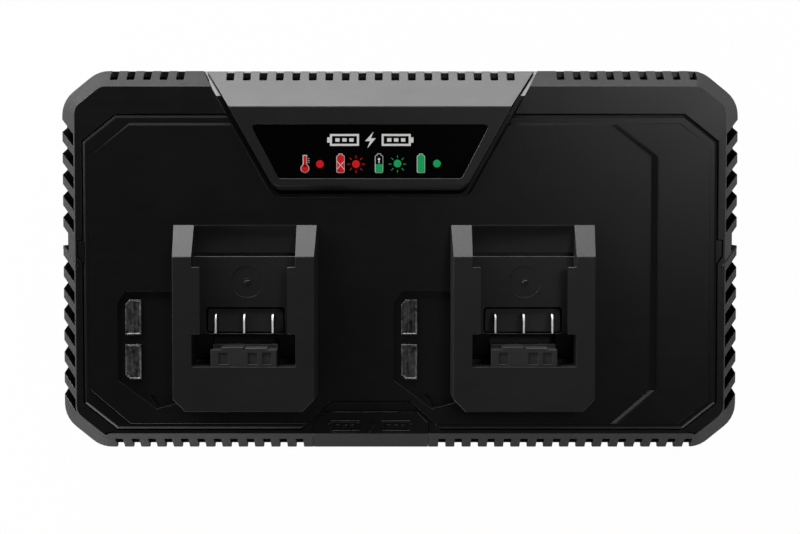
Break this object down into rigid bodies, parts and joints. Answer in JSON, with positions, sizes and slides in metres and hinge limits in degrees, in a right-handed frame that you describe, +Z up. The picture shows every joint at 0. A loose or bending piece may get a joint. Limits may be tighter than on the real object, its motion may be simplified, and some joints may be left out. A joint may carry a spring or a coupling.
{
  "type": "power tool battery charger",
  "caption": "Low rectangular charger with docks for slide-on battery packs, vented edges, a sloping status display and a cooled power supply inside.",
  "frame": {"origin": "on the table under the middle of the case's bounding box", "axes": "+X runs to the right along the case's longest side, +Y to the rear where the packs slide in, +Z up"},
  "size_m": [0.358, 0.2, 0.0743],
  "materials": {
    "case": "fine-textured black moulding",
    "base": "fine-textured black moulding",
    "deck": "smooth satin black moulding",
    "dock": "dark grey glass-filled nylon, satin",
    "stop": "dark grey glass-filled nylon, satin",
    "label": "smooth black film",
    "terminal_carrier": "satin",
    "blade": "bright nickel plating",
    "lens": "moulded clear plastic, frosted",
    "foot_rubber": "soft matt",
    "screw": "zinc plated",
    "board": "green solder mask",
    "led": "clear",
    "inlet": "smooth black",
    "pin": "bright",
    "lead": "insulated wire",
    "ferrite": "dull ferrite",
    "winding": "taped winding",
    "choke": "varnished winding",
    "fuse": "glazed tube and clips",
    "capacitor": "shrink sleeve",
    "heat_sink": "mill finish",
    "semiconductor": "moulded package",
    "socket": "nylon connector",
    "fan": "moulded"
  },
  "bodies": {
    "charger": {"base_shell": "base", "rubber_feet": "foot_rubber", "case_screws": "screw", "top_frame": "case", "deck_panel": "deck", "deck_screws": "screw", "front_plate": "deck", "status_bezel": "case", "status_label": "label", "dock_left": "dock", "dock_right": "dock", "dock_screws": "screw", "stop_block_left": "stop", "stop_block_right": "stop", "terminal_carrier_left": "terminal_carrier", "terminal_carrier_right": "terminal_carrier", "terminal_blades_left": "blade", "terminal_blades_right": "blade", "lens_left_rear": "lens", "lens_left_front": "lens", "lens_right_rear": "lens", "lens_right_front": "lens", "led_board_left": "board", "led_board_right": "board", "leds_left": "led", "leds_right": "led", "main_board": "board", "board_screws": "screw", "mains_inlet": "inlet", "inlet_pins": "pin", "mains_leads": "lead", "transformer_core": "ferrite", "transformer_bobbin": "winding", "mains_choke": "choke", "fuse": "fuse", "bulk_capacitors": "capacitor", "output_capacitors": "capacitor", "heat_sink_input": "heat_sink", "heat_sink_output": "heat_sink", "power_transistors": "semiconductor", "output_diodes": "semiconductor", "lead_sockets": "socket", "output_leads_left": "lead", "output_leads_right": "lead", "fan_frame": "fan"},
    "fan": {"fan_rotor": "fan"}
  },
  "joints": [
    {"name": "fan_spin", "type": "hinge", "parent": "charger", "child": "fan", "pos_m": [-0.161, 0.045, 0.0262], "axis": [1, 0, 0], "continuous": true}
  ]
}
